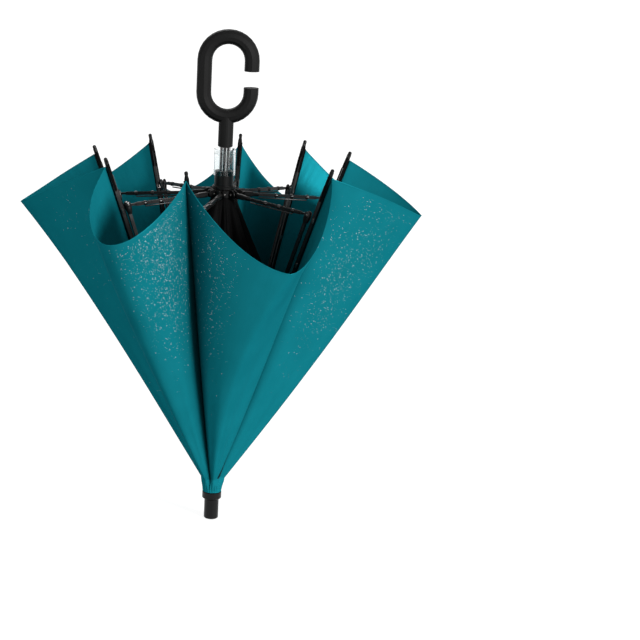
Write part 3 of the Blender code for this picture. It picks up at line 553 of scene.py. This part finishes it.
def turned(frames, profile, corners=14):
    """Circles round each frame's X axis: at distance x along it, of radius r."""
    turn = np.linspace(0.0, 2 * math.pi, corners, endpoint=False)
    x, r = profile.T
    x = np.broadcast_to(x[:, None], (len(x), corners))
    return placed(np.stack((x, np.outer(r, np.cos(turn)), np.outer(r, np.sin(turn))), axis=-1), frames)


def beam(frames, section, stations):
    """A section in Y and Z carried along X, scaled at each station (x, scale of Y, scale of Z)."""
    x, wide, deep = np.array(stations, float).T
    y, z = np.outer(wide, section[:, 0]), np.outer(deep, section[:, 1])
    return placed(np.stack((np.broadcast_to(x[:, None], y.shape), y, z), axis=-1), frames)


def plates(frames, outline, sides, edge=PLATE_EDGE):
    """Plates of one outline in X and Y, each between two heights on Z, with their edges drawn in a little."""
    middle = outline.mean(axis=0)
    made = []
    for low, high in sides:
        levels = ((low, PLATE_INSET), (low + edge, 1.0), (high - edge, 1.0), (high, PLATE_INSET))
        rings = [np.column_stack((middle + (outline - middle) * scale, np.full(len(outline), z)))
                 for z, scale in levels]
        made.append(placed(np.array(rings), frames))
    return np.concatenate(made)


# Cloth gores

def fold_rise(first, second, roundness, lean):
    """The fold as a function of its height: m + c across + h outside, over a superellipse.

    c = w sign(cos t) |cos t| ^ (2 / roundness) and h = height (sin t) ^ (2 / roundness), so the
    cloth leaves both ribs steeply. A lean tips the fold to the next rib, or back where negative.
    """
    middle, side = unit(first + second), unit(second - first)
    outside = unit(np.cross(first, second))
    outside = outside * np.sign(outside @ (middle * (1, 1, 0)))
    half_width = np.linalg.norm(second - first) / np.linalg.norm(second + first)
    turn = np.linspace(0.0, math.pi, CURVE_STEPS)
    across = -half_width * np.sign(np.cos(turn)) * np.abs(np.cos(turn)) ** (2 / roundness)
    rise = np.sin(turn) ** (2 / roundness)
    return lambda height: unit(middle + np.outer(across + lean * rise * height, side)
                               + np.outer(rise * height, outside))


def run_length(points):
    """How far along a path each point is: the sum of the steps before it."""
    return np.concatenate(((0.0,), np.cumsum(np.linalg.norm(np.diff(points, axis=0), axis=1))))


def cone_curve(index, down):
    """Directions from the apex over a gore, equal turns apart, with the cloth's whole width between them.

    The fold's height is halved in on until the curve is as long as the flat cloth's angle. Its lean
    goes from the crown's to the hem's with the square of the way down.
    """
    lean = FOLD_LEAN_AT_CROWN[index - 1]
    lean += (FOLD_LEAN_AT_HEM[index - 1] - lean) * down ** 2
    curve = fold_rise(seam_direction(index), seam_direction(index + 1), FOLD_ROUNDNESS[index - 1], lean)
    low, high = 0.0, 2.0 * math.tan(GORE_HALF_ANGLE)
    for _ in range(CURVE_TRIES):
        height = (low + high) / 2
        too_long = run_length(curve(height))[-1] > 2 * GORE_HALF_ANGLE
        low, high = (low, height) if too_long else (height, high)
    points = curve(height)
    length = run_length(points)
    wanted = np.linspace(0.0, length[-1], CLOTH_COLUMNS + 1)
    return unit(np.stack([np.interp(wanted, length, points[:, axis]) for axis in range(3)], axis=1))


def hem_reach(index, share):
    """Distance of the hem from the apex across the gore, least at the fold: f + (c - f) (2 s - 1) squared."""
    fold = FOLD_REACH[index - 1]
    return fold + (CORNER_REACH - fold) * (2 * share - 1) ** 2


def gore_surface(index):
    """Rows of points from crown to hem, their places on the flat cut, and the area of the cut.

    Point = apex + direction(s) reach(s, d), pushed out by a few slow waves that die at ribs and crown,
    and by creases of depth sin(pi d) (1 - d) squared, deepest near the crown. Half way down, the
    cloth is also fuller close beside its seams: x exp(1 - x), x the way from the seam.
    """
    share = np.linspace(0.0, 1.0, CLOTH_COLUMNS + 1)
    down = np.linspace(0.0, 1.0, CLOTH_ROWS + 1)[:, None]
    curve = np.stack([cone_curve(index, float(row)) for row in down[:, 0]])
    reach = GORE_START + (hem_reach(index, share)[None, :] - GORE_START) * down
    turn = (share - 0.5) * 2 * GORE_HALF_ANGLE
    flat = np.stack((reach * np.sin(turn), reach * np.cos(turn)), axis=-1)
    chance = np.random.default_rng(index)
    wave = np.zeros_like(reach)
    for count in range(1, FLUTTER_WAVES + 1):
        wide, tall, start = chance.uniform(FLUTTER_LEAST, FLUTTER_MOST)
        wave += np.sin(math.pi * (wide * share[None, :] * count / 2 + tall * down) + start) / count
    crease = np.sin(CROWN_CREASES * math.pi * share + index)[None, :] * np.sin(math.pi * down) \
        * (1 - down) ** 2
    beside = np.minimum(share, 1 - share)[None, :] / SEAM_PUFF_AT
    puff = SEAM_PUFF * beside * np.exp(1 - beside) * 4 * down * (1 - down)
    push = (FLUTTER * wave * down + CROWN_CREASE * crease) * np.sin(math.pi * share)[None, :] + puff
    points = APEX + curve * reach[..., None] + unit(curve * (1, 1, 0)) * push[..., None]
    first, second = flat[1:, 1:] - flat[:-1, :-1], flat[1:, :-1] - flat[:-1, 1:]
    area = np.abs(first[..., 0] * second[..., 1] - first[..., 1] * second[..., 0]).sum() / 2
    return points, flat, float(area)


def bend_at_fold(piece):
    """Bakes the piece's place into its points, so that its object sits at the origin."""
    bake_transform(piece)


def build_gore(index):
    """A gore's cloth with what lies on it: hem, rain, and on one gore the strap. Gives its first row back."""
    points, flat, area = gore_surface(index)
    cloth = cloth_piece(f"gore_cloth_{index}", points, CLOTH_THICKNESS, TEAL, flat=flat)
    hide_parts(f"gore_{index}_near", f"gore_{index}_far")
    bend_at_fold(cloth)
    build_hem(index, points)
    if index in RAIN:
        build_drops(index, points)
    if index == STRAP_GORE:
        build_strap(points)
    return points[0]


def build_hem(index, points):
    """The hem's rolled edge: an ellipse carried along the gore's last row."""
    edge, inner = points[-1], points[-2]
    frames = frames_at(edge, np.gradient(edge, axis=0), inner - edge)
    turn = np.linspace(0.0, 2 * math.pi, HEM_CORNERS, endpoint=False)
    ring = np.stack((0 * turn, HEM_HALF_WIDTH * np.cos(turn), HEM_HALF_DEPTH * np.sin(turn)), axis=-1)
    rings = placed(ring[None], frames)[:, 0][None]
    bend_at_fold(solid_piece(f"hem_{index}", rings, TEAL))


def build_seam_tape(index):
    """The bound seam outside a rib: a shallow arch, lift - drop (2 s) squared, carried along it.
    Its near-black band is partly painted shade along the valley at the rib.
    """
    along = np.linspace(*SEAM_ENDS, SEAM_ROWS + 1)[:, None]
    side = np.linspace(0.5, -0.5, SEAM_COLUMNS + 1)[None, :]
    lift = np.maximum(RIB_HALF_DEPTH, CLOTH_OUTSIDE_RIB * along / SEAM_ENDS[1]) + SEAM_CLEARANCE
    arch = SEAM_DROP * (2 * side) ** 2 - lift
    local = np.stack(np.broadcast_arrays(along, arch, SEAM_WIDTH * side), axis=-1)
    tape = cloth_piece(f"seam_tape_{index}", placed(local, rib_frame(index))[0], CLOTH_THICKNESS, BINDING_AND_VALLEY_SHADE)
    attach(tape, f"rib_{index}")


def build_drops(index, points):
    """Rain on a gore: flat domes on the cloth's own normal, thickest at one height, and few of them large."""
    count, across, spread, thickest = RAIN[index]
    chance = np.random.default_rng(DROP_SEED + index)
    middle, half = (across[0] + across[1]) / 2, (across[1] - across[0]) / 2
    column = (middle + half * chance.triangular(-1.0, 0.0, 1.0, count)) * CLOTH_COLUMNS
    row = thickest + chance.normal(0.0, spread, count)
    row = np.where(row > DROP_LOWEST, DROP_LOWEST - (row - DROP_LOWEST) * DROP_BACK, row)
    row = row.clip(DROP_HIGHEST, DROP_LOWEST) * CLOTH_ROWS
    normals = surface_normals(points, False)
    r, c = row.astype(int), column.astype(int)
    facing = normals[r, c] * outward(points, normals)
    spots = on_grid(points, row, column) + facing * CLOTH_THICKNESS / 2
    frames = frames_at(spots, facing, points[r + 1, c] - points[r, c])
    rings = np.radians(DROP_RINGS)
    dome = np.column_stack((DROP_FLAT * np.sin(rings), np.cos(rings)))
    small, large = DROP_SIZES
    sizes = DROP_RADIUS * (small + (large - small) * chance.random(count) ** DROP_SKEW)
    shapes = turned((np.zeros((count, 3)), frames[1]), dome, DROP_CORNERS) * sizes[:, None, None, None]
    shapes += frames[0][:, None, None, :]
    drops = solid_piece(f"rain_drops_{index}", shapes, WATER_PAINTED_GLINT, DROP_SHARP)
    bend_at_fold(drops)


def band_on_gore(points, reach, width, grid, lift):
    """A band lying on the back gore: its rows follow the gore's grid, lifted along the normal.

    Its width is turned into columns by the distance between two columns of the gore at that row.
    """
    hem = hem_reach(STRAP_GORE, STRAP_SHARE)
    along = (np.linspace(*reach, grid[0]) - GORE_START) / (hem - GORE_START) * CLOTH_ROWS
    centre = STRAP_SHARE * CLOTH_COLUMNS
    row, middle = along.astype(int), int(centre)
    spacing = np.linalg.norm(points[row, middle + 1] - points[row, middle - 1], axis=-1) / 2
    side = centre + (width / spacing)[:, None] * np.linspace(-0.5, 0.5, grid[1])[None, :]
    spots = on_grid(points, along[:, None], side)
    normals = surface_normals(spots, False)
    return spots + normals * outward(spots, normals) * lift


def build_strap(points):
    """The closing strap and its patch, lying on the back gore from where the strap is sewn."""
    band = band_on_gore(points, STRAP_REACH, STRAP_WIDTH, STRAP_GRID, STRAP_LIFT)
    strap = cloth_piece("closing_band", band, STRAP_THICKNESS, TEAL)
    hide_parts("closing_strap")
    bend_at_fold(strap)
    pad = band_on_gore(points, PATCH_REACH, PATCH_WIDTH, PATCH_GRID, PATCH_LIFT)
    patch = cloth_piece("loop_patch", pad, PATCH_THICKNESS, LOOP_PATCH)
    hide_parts("strap_patch")
    bend_at_fold(patch)


def build_crown_gather(starts):
    """The gores' narrow ends, drawn in pleats down to the collar: from ring to ring by s s (3 - 2 s)."""
    top = np.concatenate([start[:-1] for start in starts])
    turn = np.arctan2(top[:, 1], top[:, 0])
    share = np.linspace(0.0, 1.0, GATHER_ROWS + 1)[:, None, None]
    ease = share * share * (3 - 2 * share)
    pleat = GATHER_PLEAT * np.sin(GATHER_PLEATS * turn)[None, :, None] * share * (1 - share) * 4
    out = np.stack((np.cos(turn), np.sin(turn), 0 * turn), axis=-1)[None]
    tied = out * (GATHER_RADIUS + pleat) + UP * GATHER_BOTTOM
    points = top * (1 - ease) + tied * ease
    points[..., 2] = (top[None, :, 2:] * (1 - share) + GATHER_BOTTOM * share)[..., 0]
    gather = cloth_piece("crown_gather", points, CLOTH_THICKNESS, TEAL, around=True)
    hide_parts("crown_rosette")
    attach(gather, "shaft")
    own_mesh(gather)


def build_lining():
    """Black inner cloth in folds under the hub: radius = r(s) (1 + depth cos(n a + sway)), s the way down.

    Smaller folds ride on these, three times as many, and the sway is two slow waves round the shaft.
    """
    low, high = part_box("inner_lining")
    share = np.linspace(0.0, 1.0, LINING_ROWS + 1)[:, None]
    turn = np.linspace(0.0, 2 * math.pi, LINING_COLUMNS, endpoint=False)[None, :]
    radius = LINING_TOP_RADIUS + (LINING_BOTTOM_RADIUS - LINING_TOP_RADIUS) * share
    sway = np.sin(SWAY_ROUNDS[0] * turn + SWAY_START) * np.sin(math.pi * share * SWAY_DOWN[0]) \
        + SWAY_SECOND * np.sin(SWAY_ROUNDS[1] * turn + SWAY_DOWN[1] * share)
    depth = LINING_FOLD_SHARE * share ** LINING_DEEPENS
    folds = np.cos(LINING_FOLDS * turn + LINING_SWAY * sway)
    small = np.sin(LINING_SMALL_FOLDS * LINING_FOLDS * turn + LINING_SMALL_FOLDS * sway)
    wave = radius * (1 + depth * folds + LINING_SMALL_SHARE * depth * small)
    height = high[2] + (low[2] - high[2]) * share + 0 * turn
    points = np.stack((wave * np.cos(turn), wave * np.sin(turn), height), axis=-1)
    cloth = cloth_piece("lining_cloth", points, CLOTH_THICKNESS, BLACK_CLOTH, around=True)
    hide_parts("inner_lining")
    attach(cloth, "runner")
    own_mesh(cloth)


# Frame details

def ride_piece(name, points, body, finish=LACQUER):
    """A solid piece that rides on one body."""
    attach(solid_piece(name, points, finish), body)


def along_pins(frames, aside=0.0):
    """Frames at the same places, with X along the pins, moved aside along them."""
    origins, axes = frames
    return frames_at(origins + axes[:, 2] * aside, axes[:, 2], axes[:, 0])


def tapered(start, end, first, last):
    """Stations of a channel that is full size but for its two ends: distance, scale of Y, scale of Z."""
    return ((start, *first), (start + CHANNEL_TAPER, 1, 1), (end - CHANNEL_TAPER, 1, 1), (end, *last))


def build_rib(index):
    """What a rib carries: two folded channels, clips for the cloth, tip cap and pocket, bracket and pin."""
    base, body = rib_frame(index), f"rib_{index}"
    ends = (RIB_CHANNEL_END, RIB_CHANNEL_END)
    runs = [beam(base, RIB_CHANNEL, tapered(start, end, ends, ends)) for start, end in RIB_CHANNELS]
    ride_piece(f"rib_channel_{index}", np.concatenate(runs), body)
    clips = [turned(moved(base, (x, 0, 0)), CLIP) for x in CLIP_PLACES]
    ride_piece(f"rib_clips_{index}", np.concatenate(clips), body, ZINC)
    cap = turned(moved(base, (TIP_CAP_START, 0, 0)), TIP_CAP)
    ride_piece(f"tip_cap_{index}", cap, body, PLASTIC)
    pocket = beam(moved(base, (POCKET_START, 0, 0)), BLOCK, POCKET)
    ride_piece(f"tip_pocket_{index}", pocket, body, BLACK_CLOTH)
    pivot = moved(base, (BAR_PIVOT[0], BAR_PIVOT[1], 0))
    ride_piece(f"rib_bracket_{index}", plates(pivot, RIB_BRACKET, BRACKET_SIDES), body)
    pin = turned(along_pins(pivot, OUTER_BAR_ASIDE / 3), PIN_HEADS)
    ride_piece(f"rib_pivot_pin_{index}", pin, body, ZINC)


def build_bars(index):
    """The two bars between rib and hub: folded channels, knuckle, beaded socket and a thin rod beside."""
    outer, inner = f"outer_bar_{index}", f"inner_bar_{index}"
    base, length = bar_frame(index, "outer")
    channel = beam(moved(base, (0, 0, OUTER_BAR_ASIDE)), CHANNEL,
                   tapered(BAR_ENDS, length - BAR_ENDS, CHANNEL_END, CHANNEL_END))
    ride_piece(f"outer_channel_{index}", channel, outer)
    knuckle = moved(base, (length, 0, OUTER_BAR_ASIDE / 2))
    ride_piece(f"knuckle_plates_{index}", plates(knuckle, KNUCKLE_PLATE, KNUCKLE_SIDES), outer)
    ride_piece(f"knuckle_pin_{index}", turned(along_pins(knuckle), KNUCKLE_PIN), outer, ZINC)
    base, length = bar_frame(index, "inner")
    start, end = BAR_SOCKET[-1][0], length - BAR_ENDS
    channel = beam(base, CHANNEL,
                   ((start, SOCKET_FIT, SOCKET_FIT), (end - CHANNEL_TAPER, 1, 1), (end, *CHANNEL_END)))
    ride_piece(f"inner_channel_{index}", channel, inner)
    ride_piece(f"inner_socket_{index}", beam(base, BLOCK, BAR_SOCKET), inner, PLASTIC)
    beads = [turned(moved(base, (length * share, 0, 0)), BEAD) for share in BEAD_SHARES]
    ride_piece(f"inner_beads_{index}", np.concatenate(beads), inner)
    start, end = ROD_ENDS[0], length - ROD_ENDS[1]
    rod = np.array(((start, ROD_TIP), (start + MM, ROD_RADIUS), (end - MM, ROD_RADIUS), (end, ROD_TIP)))
    ride_piece(f"inner_rod_{index}", turned(moved(base, (0, -ROD_BELOW, 0)), rod, ROD_CORNERS), inner)


def build_hub_forks():
    """Eight forks round the runner's rim, each with a pin through the end of an inner bar."""
    pins = np.array([hub_pin(index) for index in RIBS])
    frames = frames_at(pins, pins * (1, 1, 0), UP)
    ride_piece("hub_forks", plates(frames, HUB_LUG, LUG_SIDES, LUG_EDGE), "runner", PLASTIC)
    ride_piece("hub_fork_pins", turned(along_pins(frames), LUG_PIN), "runner", ZINC)


def build_clear_sleeve():
    """The clear guide on the runner: a thin tube with a bead near its top, turned as one closed profile."""
    low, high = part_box("clear_sleeve")
    outer = (high[0] - low[0]) / 2
    rise = high[2] - low[2] - CLEAR_PROFILE[:, 1].max()
    profile = CLEAR_PROFILE + (0.0, low[2])
    profile[CLEAR_PROFILE[:, 1] > CLEAR_FOOT, 1] += rise
    profile[:, 0] += outer - CLEAR_PROFILE[:, 0].max()
    turn = np.linspace(0.0, 2 * math.pi, CLEAR_COLUMNS, endpoint=False)
    points = np.stack((np.outer(profile[:, 0], np.cos(turn)), np.outer(profile[:, 0], np.sin(turn)),
                       np.broadcast_to(profile[:, 1:], (len(profile), CLEAR_COLUMNS))), axis=-1)
    faces = grid_faces(len(profile) + 1, CLEAR_COLUMNS, True) % (len(profile) * CLEAR_COLUMNS)
    guide = new_piece("clear_guide", points, faces.tolist(), CLEAR, CLEAR_SHARP)
    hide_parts("clear_sleeve")
    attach(guide, "runner")


def build_shaft_strips():
    """Bright metal strips on the enamelled shaft, seen through the clear guide: a painted highlight of the
    glossy shaft.
    """
    low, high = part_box("shaft_tube")
    radius = (high[0] - low[0]) / 2
    turn = np.linspace(0.0, 2 * math.pi, STRIP_COUNT, endpoint=False) + STRIP_TURN
    out = np.column_stack((np.cos(turn), np.sin(turn), 0 * turn))
    frames = frames_at(out * radius + UP * STRIP_ENDS[0], UP, out)
    strips = beam(frames, BLOCK, ((0.0, *STRIP_HALF), (STRIP_ENDS[1] - STRIP_ENDS[0], *STRIP_HALF)))
    ride_piece("shaft_strips", strips, "shaft", STRIP_HIGHLIGHT_METAL)


def dress_nodes():
    """Finishes for the model's own pieces whose shapes stay: a few by name, steel for bars, else plastic."""
    finishes = {"c_grip": GRIP, "shaft_tube": ENAMEL, "upper_catch": ZINC, "lower_catch": ZINC,
                "hinge_wire": ZINC}
    for name, node in frame["nodes"].items():
        steel = name.startswith(("rib_", "outer_bar", "inner_bar"))
        for place in node.material_slots:
            place.material = finishes.get(name, LACQUER if steel else PLASTIC)


# Camera and studio

def build_camera():
    """The photograph's angle: a long lens at the aim point, with the small shift that the framing needs."""
    data = bpy.data.cameras.new("camera")
    data.sensor_width = SENSOR
    data.lens = SENSOR * CAMERA_DISTANCE / (FRAME_PIXELS * PIXEL_SIZE)
    data.shift_x = (FRAME_PIXELS / 2 - AIM_PIXEL[0]) / FRAME_PIXELS
    data.shift_y = (AIM_PIXEL[1] - FRAME_PIXELS / 2) / FRAME_PIXELS
    made = bpy.data.objects.new("camera", data)
    bpy.context.scene.collection.objects.link(made)
    back = Vector((0.0, -math.cos(CAMERA_ELEVATION), math.sin(CAMERA_ELEVATION)))
    look = (-back).to_track_quat("-Z", "Y").to_matrix() @ Matrix.Rotation(CAMERA_ROLL, 3, "Z")
    place = Vector((0.0, 0.0, AIM_HEIGHT)) + back * CAMERA_DISTANCE
    made.matrix_world = Matrix.Translation(place) @ look.to_4x4()
    bpy.context.scene.camera = made


def build_studio():
    """A pale floor and plain soft lamps. The camera and reflections see the floor as white paper."""
    corners = np.array(((-1, -1, 0), (1, -1, 0), (1, 1, 0), (-1, 1, 0)), float) * STUDIO_SIZE
    mesh = bpy.data.meshes.new("studio_floor")
    mesh.from_pydata(corners.tolist(), [], [(0, 1, 2, 3)])
    floor = bpy.data.objects.new("studio_floor", mesh)
    bpy.context.scene.collection.objects.link(floor)
    paper = bpy.data.materials.new("white_paper")
    paper.use_nodes = True
    tree = paper.node_tree
    shader = tree.nodes["Principled BSDF"]
    shader.inputs["Base Color"].default_value = linear(FLOOR_COLOUR)
    shader.inputs["Roughness"].default_value = 0.9
    shader.inputs["Specular IOR Level"].default_value = 0.0
    shader.inputs["Emission Color"].default_value = WHITE
    rays = add_node(tree, "ShaderNodeLightPath", {}, {})
    seen = add_node(tree, "ShaderNodeMath", {"operation": "MAXIMUM"},
                    {0: rays.outputs["Is Camera Ray"], 1: rays.outputs["Is Glossy Ray"]})
    seen = add_node(tree, "ShaderNodeMath", {"operation": "MAXIMUM"},
                    {0: seen.outputs[0], 1: rays.outputs["Is Transmission Ray"]})
    glow = add_node(tree, "ShaderNodeMath", {"operation": "MULTIPLY"}, {0: seen.outputs[0], 1: FLOOR_GLOW})
    tree.links.new(glow.outputs[0], shader.inputs["Emission Strength"])
    mesh.materials.append(paper)
    world = bpy.data.worlds.new("studio")
    world.use_nodes = True
    sky = world.node_tree.nodes["Background"]
    sky.inputs["Color"].default_value = WHITE
    sky.inputs["Strength"].default_value = SKY_STRENGTH
    bpy.context.scene.world = world
    for name, (place, width, strength) in LAMPS.items():
        data = bpy.data.lights.new(name, "SUN")
        data.angle = math.radians(width)
        data.energy = strength
        lamp = bpy.data.objects.new(name, data)
        bpy.context.scene.collection.objects.link(lamp)
        lamp.rotation_euler = (-Vector(place)).to_track_quat("-Z", "Y").to_euler()
    bpy.context.scene.view_settings.view_transform = "Standard"


def main():
    """Builds every piece round the model, the camera and the studio."""
    dress_nodes()
    starts = []
    for index in RIBS:
        starts.append(build_gore(index))
        build_seam_tape(index)
        build_rib(index)
        build_bars(index)
    build_crown_gather(starts)
    build_lining()
    build_hub_forks()
    build_clear_sleeve()
    build_shaft_strips()
    build_camera()
    build_studio()


main()
